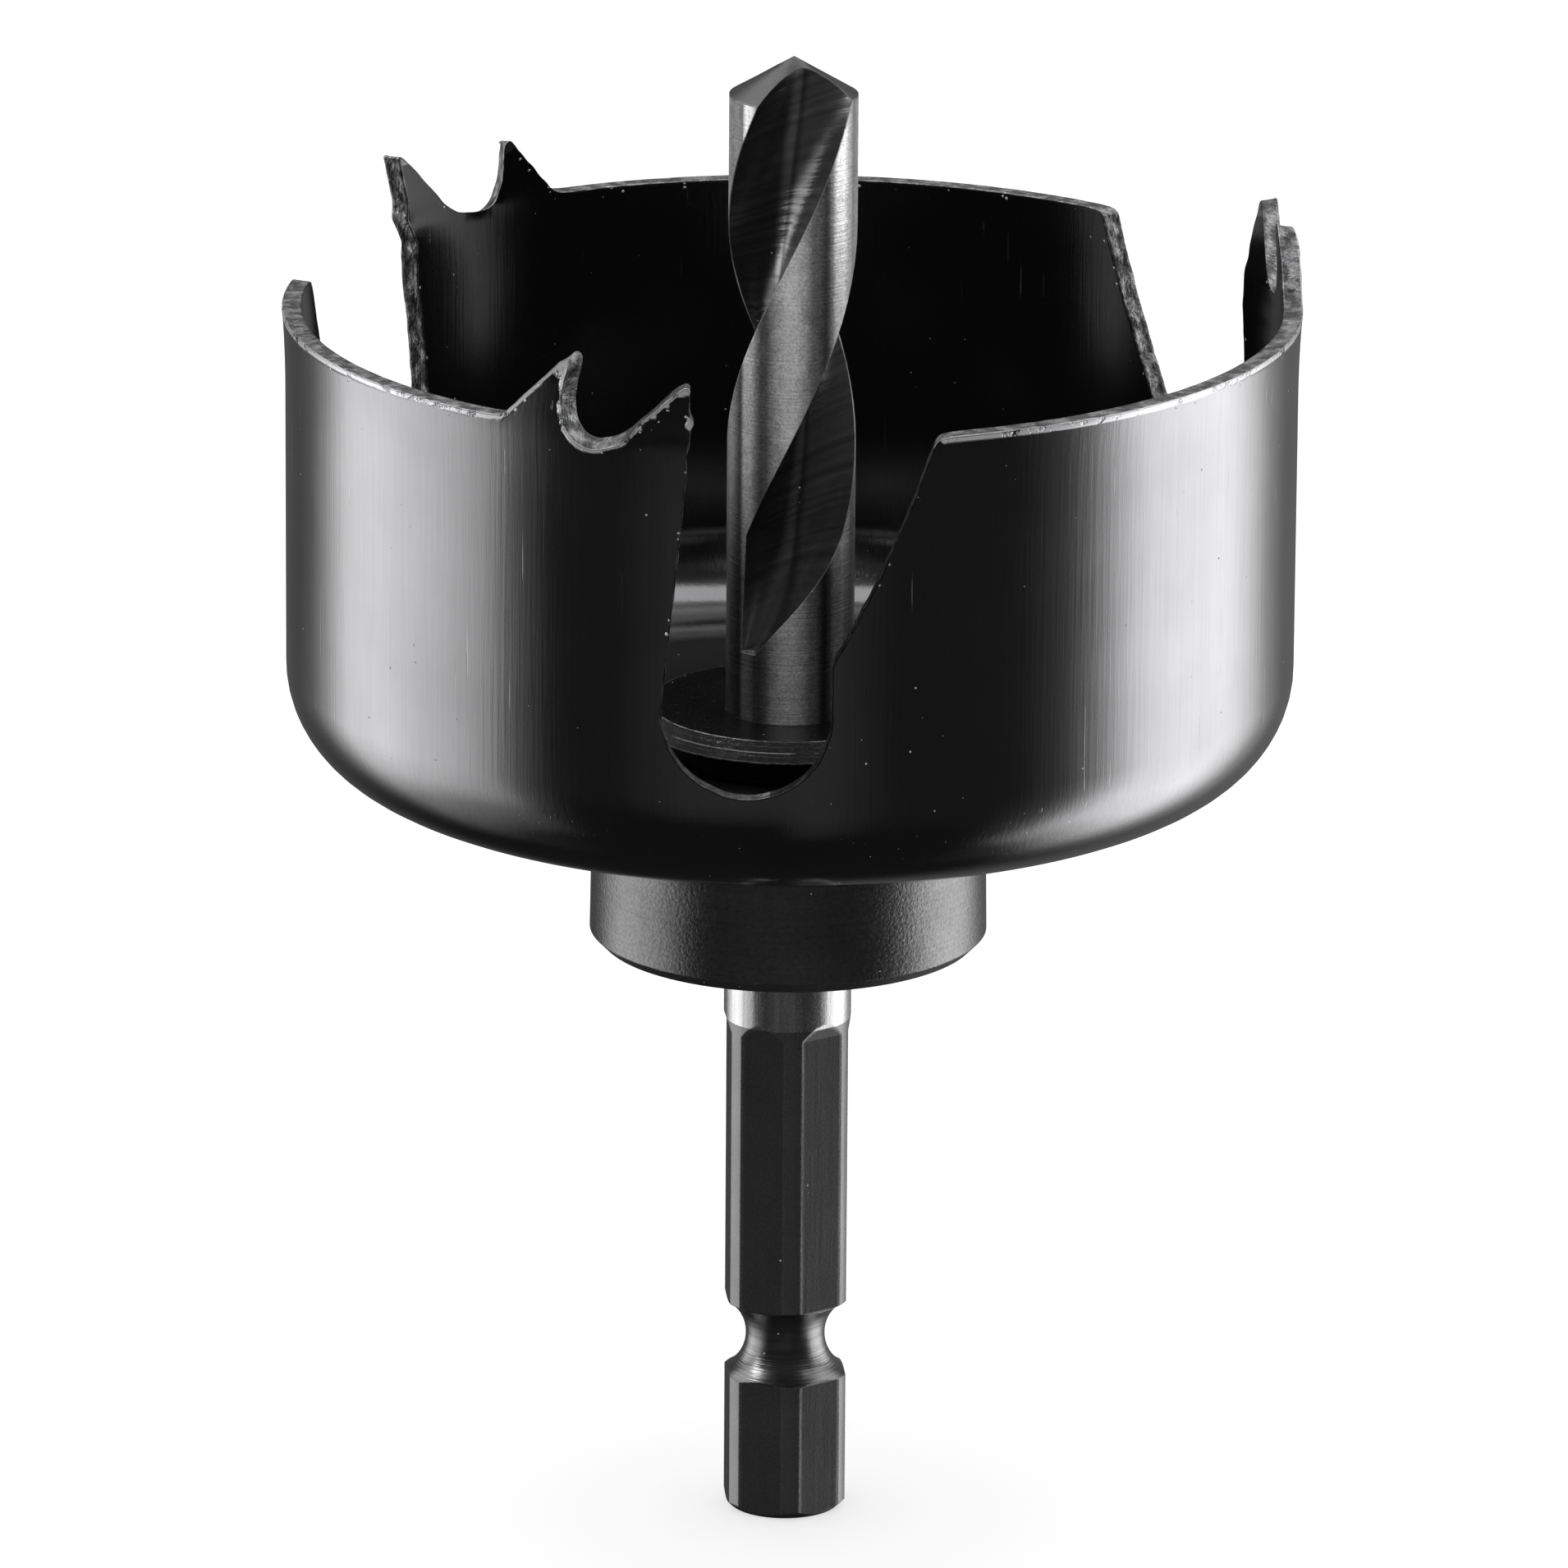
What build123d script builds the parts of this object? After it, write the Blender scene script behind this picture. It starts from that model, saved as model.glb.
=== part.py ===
from build123d import *
import os
from math import asin, cos, degrees, radians, sin, tan

# Hole saw with a twist pilot drill and a hex shank, in millimetres and degrees.
# The tool's axis is +Z. Z = 0 is the end of the shank and the teeth point up.
# Angles round the axis start at -Y and grow counter-clockwise seen from the teeth.

# Cup
cup_diameter = 54.2
sheet = 1.05
rim_height = 67.6         # shank end to rim
cup_depth = 25.5          # rim to the underside of the floor
corner_radius = 6.0       # outside of the drawn corner
rim_flare = 0.2           # the rim leans out by this much
rim_flare_height = 1.3

# Slots, cut down from the rim
slot_angles = (0.0, 123.0, 243.5)
slot_depth = 19.2
slot_radius = 4.45        # round bottom
slot_bottom_offset = -2.25
slot_throat = 11.9        # rim to the foot of the sloping side
slot_leading = -5.15      # steep side at the rim, which carries the teeth
slot_trailing = 7.5       # sloping side at the rim
slot_bow = 0.35           # the sloping side is hollowed by this much

# Teeth, two beside each slot, measured back from the leading side
tooth_height = 3.6
lead_tooth_height = 3.3
lead_tooth_set = 1.0      # outward
tooth_sets = (0.5, 0.1, 1.0)  # inward on the second tooth of each slot
lead_ramp_length = 3.9
gullet_depth = 0.6
gullet_foot = 7.2         # foot of the second tooth's rake face
tooth_spacing = 6.6       # leading tip to second tip
teeth_length = 10.8       # leading tip to the end of the second tooth's back

# Rod: pilot drill, neck and shank in one
rod_diameter = 6.9
tool_length = 81.5
point_angle = 118.0
flute_start = 55.6        # full depth above this height
flute_runout = 6.5        # height in which a flute runs out below
runout_turn = 46.0        # a flute ends this far round from where the run-out starts
runout_tip = 0.5          # radius of the run-out's end
flute_pitch = 45.0
flute_turn = 15.3         # angle of a flute's middle at the shoulder of the point
flute_radius = 3.04
web = 1.6

# Hex shank
hex_across_flats = 6.35
hex_turn = 6.5            # angle of one corner
hex_length = 27.4
hex_ramp = 0.85           # height in which the flats run out to the round rod
groove_height = 9.75
groove_radius = 2.4
groove_neck = 2.15        # smallest radius left in the groove
end_chamfer = 0.45

# Boss and inner disc
hub_diameter = 21.5       # at its lower end
hub_top_diameter = 21.2   # at the cup
hub_height = 9.65
hub_chamfer = 0.6
hub_edge_radius = 0.4
disc_diameter = 16.2
disc_top_diameter = 15.0
disc_height = 1.1
disc_step_diameter = 13.8
disc_step_height = 1.4
disc_dish = 0.3
disc_collar_diameter = 7.7
fit_clearance = 0.02      # radial, round the rod

# Derived sizes
cup_radius = cup_diameter / 2
rod_radius = rod_diameter / 2
bore_radius = rod_radius + fit_clearance
floor_underside = rim_height - cup_depth
floor_top = floor_underside + sheet
shoulder_height = tool_length - rod_radius / tan(radians(point_angle / 2))
teeth_turn = -degrees(asin(-slot_leading / cup_radius) + teeth_length / cup_diameter)
lead_x = teeth_length / 2
overrun = 1.0             # cuts reach past what they cut by this much
sky = tooth_height + 2 * overrun

os.makedirs("parts", exist_ok=True)


def outward(angle):
    return (sin(radians(angle)), -cos(radians(angle)), 0)


def sideways(angle):
    return (cos(radians(angle)), sin(radians(angle)), 0)


def facing_plane(angle, height):
    """Square to the radius at this angle: x runs sideways, y is up."""
    return Plane(origin=(0, 0, height), x_dir=sideways(angle), z_dir=outward(angle))


def axial_plane(angle, height=0.0):
    """Holds the axis: x runs outward at this angle, y is up."""
    across = [-component for component in sideways(angle)]
    return Plane(origin=(0, 0, height), x_dir=outward(angle), z_dir=across)


def tooth_band(angle, arc, set_out):
    """A strip of the wall that stands above the rim and leans by its set."""
    rim_outer = cup_radius + rim_flare
    rise = tooth_height + overrun
    lean = set_out * rise / tooth_height
    with BuildPart() as band:
        with BuildSketch(axial_plane(angle, rim_height)):
            with BuildLine():
                Polyline(
                    (rim_outer - sheet, 0),
                    (rim_outer, 0),
                    (rim_outer + lean, rise),
                    (rim_outer + lean - sheet, rise),
                    close=True,
                )
            make_face()
        revolve(axis=Axis.Z, revolution_arc=arc)
    return band.part


# Cup: a revolved wall, corner and floor, then bands for the teeth, slots and the tooth outline
inner_radius = cup_radius - sheet
inner_corner = corner_radius - sheet
flare_start = rim_height - rim_flare_height
mm_to_degrees = degrees(1 / cup_radius)
gullet_middle = (lead_ramp_length + gullet_foot) / 2

with BuildPart() as saw_cup:
    with BuildSketch(Plane.XZ):
        with BuildLine():
            Line((bore_radius, floor_underside), (cup_radius - corner_radius, floor_underside))
            RadiusArc(
                (cup_radius - corner_radius, floor_underside),
                (cup_radius, floor_underside + corner_radius),
                -corner_radius,
            )
            Polyline(
                (cup_radius, floor_underside + corner_radius),
                (cup_radius, flare_start),
                (cup_radius + rim_flare, rim_height),
                (inner_radius + rim_flare, rim_height),
                (inner_radius, flare_start),
                (inner_radius, floor_top + inner_corner),
            )
            RadiusArc(
                (inner_radius, floor_top + inner_corner),
                (inner_radius - inner_corner, floor_top),
                inner_corner,
            )
            Polyline(
                (inner_radius - inner_corner, floor_top),
                (bore_radius, floor_top),
                (bore_radius, floor_underside),
            )
        make_face()
    revolve(axis=Axis.Z)

    for slot_angle, tooth_set in zip(slot_angles, tooth_sets):
        lead_angle = slot_angle - degrees(asin(-slot_leading / cup_radius))
        gullet_angle = lead_angle - gullet_middle * mm_to_degrees
        back_angle = lead_angle - (teeth_length + overrun / 2) * mm_to_degrees
        past_lead = lead_angle + overrun * mm_to_degrees
        add(tooth_band(gullet_angle, past_lead - gullet_angle, lead_tooth_set))
        add(tooth_band(back_angle, gullet_angle - back_angle, -tooth_set))

    for slot_angle in slot_angles:
        with BuildSketch(facing_plane(slot_angle, rim_height)):
            with BuildLine():
                Line(
                    (slot_bottom_offset + slot_radius, slot_radius - slot_depth),
                    (slot_bottom_offset + slot_radius, -slot_throat),
                )
                SagittaArc(
                    (slot_bottom_offset + slot_radius, -slot_throat),
                    (slot_trailing, 0),
                    -slot_bow,
                )
                Polyline(
                    (slot_trailing, 0),
                    (slot_trailing, sky),
                    (slot_leading, sky),
                    (slot_leading, 0),
                    (slot_bottom_offset - slot_radius, slot_radius - slot_depth),
                )
                ThreePointArc(
                    (slot_bottom_offset - slot_radius, slot_radius - slot_depth),
                    (slot_bottom_offset, -slot_depth),
                    (slot_bottom_offset + slot_radius, slot_radius - slot_depth),
                )
            make_face()
        extrude(amount=cup_diameter, mode=Mode.SUBTRACT)

    for slot_angle in slot_angles:
        with BuildSketch(facing_plane(slot_angle + teeth_turn, rim_height)):
            with BuildLine():
                Polyline(
                    (lead_x + overrun, sky),
                    (lead_x + overrun, lead_tooth_height),
                    (lead_x, lead_tooth_height),
                    (lead_x - lead_ramp_length, 0),
                )
                ThreePointArc(
                    (lead_x - lead_ramp_length, 0),
                    (lead_x - gullet_middle, -gullet_depth),
                    (lead_x - gullet_foot, 0),
                )
                Polyline(
                    (lead_x - gullet_foot, 0),
                    (lead_x - tooth_spacing, tooth_height),
                    (-lead_x, 0),
                    (-lead_x - overrun, 0),
                    (-lead_x - overrun, sky),
                    (lead_x + overrun, sky),
                )
            make_face()
        extrude(amount=cup_diameter, mode=Mode.SUBTRACT)


# Boss below the floor
with BuildPart() as hub:
    with BuildSketch(Plane.XZ):
        with BuildLine():
            Polyline(
                (bore_radius, floor_underside),
                (hub_top_diameter / 2, floor_underside),
                (hub_diameter / 2, floor_underside - hub_height),
                (bore_radius, floor_underside - hub_height),
                close=True,
            )
        make_face()
    revolve(axis=Axis.Z)
    outer_rims = hub.edges().filter_by(GeomType.CIRCLE).sort_by(SortBy.RADIUS)[-2:]
    chamfer(outer_rims.sort_by(Axis.Z)[0], hub_chamfer)
    fillet(hub.faces().sort_by(Axis.Z)[-1].edges().sort_by(SortBy.RADIUS)[-1], hub_edge_radius)


# Disc that clamps the floor from inside, stepped below and dished on top
disc_underside = floor_top + disc_step_height
disc_top = disc_underside + disc_height

with BuildPart() as clamp_disc:
    with BuildSketch(Plane.XZ):
        with BuildLine():
            Polyline(
                (bore_radius, floor_top),
                (disc_step_diameter / 2, floor_top),
                (disc_step_diameter / 2, disc_underside),
                (disc_diameter / 2, disc_underside),
                (disc_top_diameter / 2, disc_top),
                (disc_collar_diameter / 2, disc_top - disc_dish),
                (bore_radius, disc_top - disc_dish),
                close=True,
            )
        make_face()
    revolve(axis=Axis.Z)


# Rod: the whole length turned, then six flats below and two flutes above
groove_reach = (groove_radius**2 - (groove_radius + groove_neck - rod_radius) ** 2) ** 0.5


def flute_cutter(turn):
    """A round groove that twists up to the point and runs out in a slanting cone below."""
    twist = 360 / flute_pitch
    full_length = tool_length - flute_start
    foot_turn = turn - (shoulder_height - flute_start) * twist
    foot = outward(foot_turn)
    end = outward(foot_turn - runout_turn)
    centre = web / 2 + flute_radius
    with BuildPart() as runout:
        with BuildSketch(Plane.XY.offset(flute_start)) as section:
            with Locations((centre * foot[0], centre * foot[1])):
                Circle(flute_radius)
        with BuildSketch(Plane.XY.offset(flute_start - flute_runout)):
            with Locations((rod_radius * end[0], rod_radius * end[1])):
                Circle(runout_tip)
        loft()
    twisted = Solid.extrude_linear_with_rotation(
        section.sketch.faces()[0],
        (0, 0, flute_start),
        (0, 0, full_length),
        twist * full_length,
    )
    return [twisted, runout.part.solids()[0]]


flutes = [cutter for turn in (flute_turn, flute_turn + 180) for cutter in flute_cutter(turn)]

with BuildPart() as pilot_arbor:
    with BuildSketch(Plane.XZ):
        with BuildLine():
            Polyline(
                (0, 0),
                (rod_radius - end_chamfer, 0),
                (rod_radius, end_chamfer),
                (rod_radius, groove_height - groove_reach),
            )
            ThreePointArc(
                (rod_radius, groove_height - groove_reach),
                (groove_neck, groove_height),
                (rod_radius, groove_height + groove_reach),
            )
            Polyline(
                (rod_radius, groove_height + groove_reach),
                (rod_radius, shoulder_height),
                (0, tool_length),
                (0, 0),
            )
        make_face()
    revolve(axis=Axis.Z)

    for side_number in range(6):
        with BuildSketch(axial_plane(hex_turn + 30 + 60 * side_number)):
            with BuildLine():
                Polyline(
                    (hex_across_flats / 2, -overrun),
                    (hex_across_flats / 2, hex_length),
                    (rod_radius, hex_length + hex_ramp),
                    (rod_diameter, hex_length + hex_ramp),
                    (rod_diameter, -overrun),
                    close=True,
                )
            make_face()
        extrude(amount=rod_radius, both=True, mode=Mode.SUBTRACT)

    add(flutes, mode=Mode.SUBTRACT)


for piece, label in (
    (saw_cup, "saw_cup"),
    (hub, "hub"),
    (clamp_disc, "clamp_disc"),
    (pilot_arbor, "pilot_arbor"),
):
    piece.part.label = label
    export_step(piece.part, f"parts/{label}.step")
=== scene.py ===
import bpy
import math
import numpy as np
from mathutils import Matrix, Vector, geometry, kdtree
from mathutils import noise as bumps


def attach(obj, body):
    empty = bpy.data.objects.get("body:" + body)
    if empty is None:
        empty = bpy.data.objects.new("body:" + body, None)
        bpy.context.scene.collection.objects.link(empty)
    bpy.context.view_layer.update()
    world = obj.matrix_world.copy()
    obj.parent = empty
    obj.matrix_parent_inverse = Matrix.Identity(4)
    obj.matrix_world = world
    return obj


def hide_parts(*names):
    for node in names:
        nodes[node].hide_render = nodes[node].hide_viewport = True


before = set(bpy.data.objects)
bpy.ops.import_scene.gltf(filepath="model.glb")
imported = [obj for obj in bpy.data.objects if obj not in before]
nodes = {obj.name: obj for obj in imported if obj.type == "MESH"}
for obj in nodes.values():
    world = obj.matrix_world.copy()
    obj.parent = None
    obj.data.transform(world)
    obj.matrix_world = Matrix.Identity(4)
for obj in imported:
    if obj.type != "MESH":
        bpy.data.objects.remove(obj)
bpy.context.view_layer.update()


# adds a node: a socket among the inputs is linked, anything else is set as its value
def wire(tree, kind, inputs=None, **settings):
    made = tree.nodes.new(kind)
    for name, value in settings.items():
        setattr(made, name, value)
    for name, value in (inputs or {}).items():
        if isinstance(value, bpy.types.NodeSocket):
            tree.links.new(value, made.inputs[name])
        else:
            made.inputs[name].default_value = value
    return made


def calc(tree, operation, *values):
    inputs = dict(enumerate(values))
    return wire(tree, "ShaderNodeMath", inputs, operation=operation).outputs[0]


def times(tree, first, *others):
    for other in others:
        first = calc(tree, "MULTIPLY", first, other)
    return first


def plus(tree, first, *others):
    for other in others:
        first = calc(tree, "ADD", first, other)
    return first


def largest(tree, first, *others):
    for other in others:
        first = calc(tree, "MAXIMUM", first, other)
    return first


def below(tree, value, limit):
    return calc(tree, "LESS_THAN", value, limit)


def above(tree, value, limit):
    return calc(tree, "GREATER_THAN", value, limit)


# value + amount * (pattern - 0.5)
def drift(tree, value, pattern, amount):
    return calc(tree, "MULTIPLY_ADD", calc(tree, "SUBTRACT", pattern, 0.5), amount, value)


# the value made lighter and darker by a pattern that lies round 0.5
def vary(tree, value, pattern, amount):
    return times(tree, value, drift(tree, 1.0, pattern, amount))


# the value less a share of itself where the mask is 1
def dimmed(tree, value, mask, share):
    return times(tree, value, calc(tree, "MULTIPLY_ADD", mask, -share, 1.0))


def vecCalc(tree, operation, *values, out=0):
    inputs = dict(enumerate(values))
    return wire(tree, "ShaderNodeVectorMath", inputs, operation=operation).outputs[out]


def joined(tree, x, y, z):
    return wire(tree, "ShaderNodeCombineXYZ", {0: x, 1: y, 2: z}).outputs[0]


def parted(tree, vector):
    return wire(tree, "ShaderNodeSeparateXYZ", {0: vector}).outputs


# smooth step from low to high
def between(tree, value, low, high, outLow=0.0, outHigh=1.0):
    inputs = {0: value, 1: low, 2: high, 3: outLow, 4: outHigh}
    return wire(tree, "ShaderNodeMapRange", inputs, interpolation_type="SMOOTHSTEP").outputs[0]


def blend(tree, factor, first, second):
    inputs = {0: factor, 2: first, 3: second}
    return wire(tree, "ShaderNodeMix", inputs, data_type="FLOAT").outputs[0]


def grey(value):
    return (value, value, value, 1.0)


# patterns are set as (scale, detail, roughness)
def noise(tree, vector, setting):
    scale, detail, rough = setting
    inputs = {"Vector": vector, "Scale": scale, "Detail": detail, "Roughness": rough}
    return wire(tree, "ShaderNodeTexNoise", inputs).outputs[0]


# streaks along the tool's axis are set as (scale across, scale along, detail, roughness)
def streaked(tree, position, setting):
    across, along, detail, rough = setting
    stretched = vecCalc(tree, "MULTIPLY", position, (across, across, along))
    return noise(tree, stretched, (1.0, detail, rough))


# lines left by turning are the same all the way round
def turned(tree, radius, z, setting):
    scale, detail, rough = setting
    place = joined(tree, times(tree, radius, scale), 0.0, times(tree, z, scale))
    return noise(tree, place, (1.0, detail, rough))


# small round dots scattered in space, 1 inside a dot;
# set as (scale, size, share of the cells that hold one, shift of the scatter)
def specks(tree, position, setting):
    scale, size, share, shift = setting
    shifted = vecCalc(tree, "ADD", position, (shift, shift * 0.7, shift * 1.3))
    inputs = {"Vector": shifted, "Scale": scale}
    cells = wire(tree, "ShaderNodeTexVoronoi", inputs, feature="F1")
    chance = wire(tree, "ShaderNodeSeparateColor", {0: cells.outputs["Color"]}).outputs[0]
    dot = between(tree, cells.outputs["Distance"], size, size * 0.6)
    return times(tree, dot, below(tree, chance, share))


# rounded normal at sharp edges, and how far it is from the flat one
def softEdge(tree, radius):
    rounded = wire(tree, "ShaderNodeBevel", {"Radius": radius / 1000.0}, samples=3).outputs[0]
    flat = wire(tree, "ShaderNodeNewGeometry").outputs["Normal"]
    alike = vecCalc(tree, "DOT_PRODUCT", rounded, flat, out=1)
    return rounded, calc(tree, "SUBTRACT", 1.0, alike)


# stops run from the lowest value to the highest as (value, share)
def curveRamp(tree, value, stops):
    low, high = stops[0][0], stops[-1][0]
    made = wire(tree, "ShaderNodeValToRGB", {0: between(tree, value, low, high)})
    made.inputs[0].links[0].from_node.interpolation_type = "LINEAR"
    points = made.color_ramp.elements
    while len(points) < len(stops):
        points.new(0.5)
    for point, (at, share) in zip(points, stops):
        point.position = (at - low) / (high - low)
        point.color = grey(share)
    return made.outputs[0]


# degrees round the axis, 0 towards the camera and positive to the right
def degreesRound(tree, x, y):
    return times(tree, calc(tree, "ARCTAN2", x, times(tree, y, -1.0)), 180 / math.pi)


def newFinish(name):
    material = bpy.data.materials.new(name)
    material.use_nodes = True
    return material, material.node_tree, material.node_tree.nodes["Principled BSDF"]


# position in millimetres, its parts, and the distance from the tool's axis
def places(tree):
    position = vecCalc(tree, "SCALE", wire(tree, "ShaderNodeTexCoord").outputs["Object"])
    position.node.inputs["Scale"].default_value = 1000.0
    x, y, z = parted(tree, position)
    radius = calc(tree, "SQRT", plus(tree, times(tree, x, x), times(tree, y, y)))
    return position, x, y, z, radius


# links a finish to its shader; relief is in millimetres
def plugIn(tree, shader, tone, metal, rough, relief, normal=None, blueShare=1.0):
    blue = tone if blueShare == 1.0 else times(tree, tone, blueShare)
    color = wire(tree, "ShaderNodeCombineColor", {0: tone, 1: tone, 2: blue}).outputs[0]
    inputs = {"Height": relief, "Distance": 0.001, "Strength": 1.0}
    if normal is not None:
        inputs["Normal"] = normal
    bumped = wire(tree, "ShaderNodeBump", inputs).outputs[0]
    sockets = {"Base Color": color, "Metallic": metal, "Roughness": rough, "Normal": bumped}
    for name, value in sockets.items():
        tree.links.new(value, shader.inputs[name])


# saw cup: one pressed sheet with rough cut edges, sizes in millimetres
cup = {
    "radius": 27.1, "sheet": 1.05, "rim": 67.85, "bore": 3.47,
    "cornerRadius": 6.0, "cornerTop": 48.1,
    "flare": 0.17, "flareHeight": 4.5,
    # slots: degrees round of their middles, the rest measured from the middle and the rim
    "slotAngles": (123.0, 243.5, 360.0),
    "slotLeading": -5.15, "slotTrailing": 7.5,
    "slotRadius": 4.45, "slotOffset": -2.25, "slotDepth": 19.45,
    "slotThroat": 12.15, "slotBow": 0.35,
    # slot sides are cut square across the sheet, fading out over these (degrees, width)
    "squareFrom": (-20.0, 7.0), "squareTo": (45.0, 25.0),
    # both teeth, from the slot's leading side back along the rim: (distance, height over it)
    "teeth": ((0.0, 3.35), (0.35, 3.2), (0.8, 2.75), (1.7, 1.75), (3.1, 0.45), (4.2, -0.35),
              (5.3, -0.70), (6.1, -0.55), (6.6, 0.1), (6.85, 1.2), (6.75, 2.2), (6.6, 2.9),
              (6.5, 3.5), (6.95, 3.85), (10.8, 0.0)),
    "toothHeight": 3.6, "secondTip": 6.85, "gulletFrom": 3.5, "gulletTo": 7.0,
    # for each slot: how deep its gullet is, and how much higher its first tooth
    "gulletShares": (0.6, 0.35, 1.0), "leadExtra": (0.0, 0.35, -0.40), "leadReach": 3.5,
    # set: first teeth lean out, second teeth lean in by slot
    "leadSet": 1.0, "secondSets": (0.1, 1.0, 0.5),
    "setSwap": (4.4, 2.0), "setEnd": (14.3, 4.5), "setCurve": 1.3, "bendBelow": 0.9,
    # tips are shaved outside, gullets are ground at a slant
    "facet": 0.15, "facetReach": 1.2, "rake": 0.42, "rakeReach": 1.3,
    # lumps and nicks of the leading sides: (slot, height over the rim, how far out, size)
    "knobs": ((360.0, 2.8, 0.12, 0.25), (360.0, 0.85, 0.20, 0.32), (360.0, -1.2, -0.10, 0.4),
              (243.5, 0.2, 0.22, 0.5), (243.5, -1.3, -0.16, 0.5), (243.5, -3.6, 0.16, 0.7),
              (243.5, -5.4, -0.12, 0.5), (123.0, 0.3, -0.14, 0.5), (123.0, -2.4, 0.14, 0.6),
              (123.0, 3.2, 0.10, 0.3)),
    # for each kind of edge: how far it wanders, how deep it is pitted, how burred it is
    "wanderOf": {"rim": 0.012, "tooth": 0.05, "gullet": 0.05, "slot": 0.08},
    "pittedOf": {"rim": 0.02, "tooth": 0.05, "gullet": 0.08, "slot": 0.08},
    "burrOf": {"rim": 1.0, "tooth": 0.95, "gullet": 0.85, "slot": 0.5},
    "innerBurr": 0.64,
    # ripples of the edge's wander, its pits and its burred lip: scales per millimetre
    "wanderScales": (0.5, 1.7), "pitScales": (1.7, 4.5),
    "lip": 0.035, "lipScale": 1.4, "lipLeast": 0.35,
    # across a cut edge: (share of the thickness, how far it is rounded back, pitting)
    "acrossEdge": ((0.0, 0.09, 0.0), (0.03, 0.03, 0.2), (0.09, 0.0, 0.4), (0.24, 0.0, 1.0),
                   (0.42, 0.0, 1.0), (0.60, 0.0, 1.0), (0.78, 0.0, 1.0), (0.91, 0.0, 0.5),
                   (0.97, 0.03, 0.2), (1.0, 0.09, 0.0)),
    # mesh: the seam's place in degrees, columns round, and steps in millimetres
    "seam": 45.0, "columns": 220, "cornerRows": 14, "floorRows": 9,
    "step": 0.16, "row": 0.8, "lowRow": 46.0, "edgeClear": 0.3,
    # tones of the finish
    "steel": 0.27, "innerShadeTone": 0.02, "cutDark": 0.10, "cutBright": 0.34, "cutLeast": 0.02,
    "wornSteel": 0.75, "scratchTone": 0.09, "dustTone": 0.4, "blueShare": 1.02,
    "rimLightShare": 1.25, "rimLightBand": (0.5, 0.3),
    # roughness and metal
    "gloss": 0.14, "innerGloss": 0.16, "floorGloss": 0.45, "cutGloss": 0.36,
    "wornGloss": 0.30, "dustGloss": 0.8, "streakGloss": 0.08, "cloudGloss": 0.08,
    "innerMetal": 0.82, "wornMetal": 0.6,
    # patterns, and how much they change the tone
    "streaks": (5.0, 0.10, 4.0, 0.6), "streakShare": 0.16,
    "fineStreaks": (16.0, 0.35, 3.0, 0.6),
    "clouds": (0.16, 3.0, 0.5), "cloudShare": 0.35,
    "grain": (9.0, 2.0, 0.6), "grainShare": 1.2,
    "marks": (8.0, 2.0, 0.6), "markShare": 1.6, "markDepth": 0.4,
    "scratches": (7.0, 0.12, 2.0, 0.4), "scratchRange": (0.735, 0.78),
    "pits": (1.3, 5.0, 0.6), "pitRange": (0.40, 0.64),
    "chipNoise": (1.1, 4.0, 0.7), "chipRange": (0.36, 0.50),
    "edgeDots": (2.0, 0.22, 0.45, 13.0),
    "dust": (0.8, 0.05, 0.3, 0.0), "fineDust": (1.9, 0.06, 0.10, 31.0),
    # how burred an edge is where it is chipped, all bare, or dotted
    "chippedBurr": (0.60, 0.80), "bareBurr": (1.2, 1.6), "dottedBurr": (0.35, 0.45),
    # where the cut edges' finish takes over, and which faces look inwards
    "cutRange": (0.3, 0.8), "inwardRange": (-0.5, -0.9),
    # the inner wall, painted dark as shade, starts at these heights; the flat floor and the corner
    # ahead are rougher and painted darker as shade
    "innerFrom": (47.0, 54.0), "floorShadeDim": 0.8,
    "floorReach": (21.6, 20.4), "floorFacing": (0.6, 0.95),
    "aheadReach": (2.0, -12.0), "aheadFacing": (0.15, 0.40),
    # the sloping side of the front slot is made darker
    "slotSideDim": 0.8, "slotSideAhead": -20.0, "slotSideLeft": -1.0, "slotSideRight": 8.2, "slotSideBelow": 0.6,
    # relief
    "streakRelief": 0.005, "grainRelief": 0.0015, "scratchRelief": -0.004,
    "pitRelief": 0.14, "markRelief": 0.04, "chipRelief": 0.03, "dustRelief": 0.03,
}
degreesPerMm = math.degrees(1 / cup["radius"])


def smooth(value):
    value = np.clip(value, 0.0, 1.0)
    return value * value * (3 - 2 * value)


def ripple(x, y, scale, layer):
    return bumps.noise(Vector((x * scale, y * scale, layer)))


# degrees round at a distance from a slot's middle
def slotAngleOf(offset):
    return math.degrees(math.asin(offset / cup["radius"]))


def toothCorners(lead, gulletShare, extra):
    corners = []
    for back, over in reversed(cup["teeth"]):
        if over < 0:
            height = over * gulletShare
        else:
            height = over + extra * max(0.0, 1 - back / cup["leadReach"])
        kind = "slot" if back == 0 else "tooth"
        if cup["gulletFrom"] < back <= cup["gulletTo"]:
            kind = "gullet"
        corners.append((lead - back, cup["rim"] + height, kind))
    corners.append((lead, cup["rim"], "slot"))
    return corners


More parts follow.
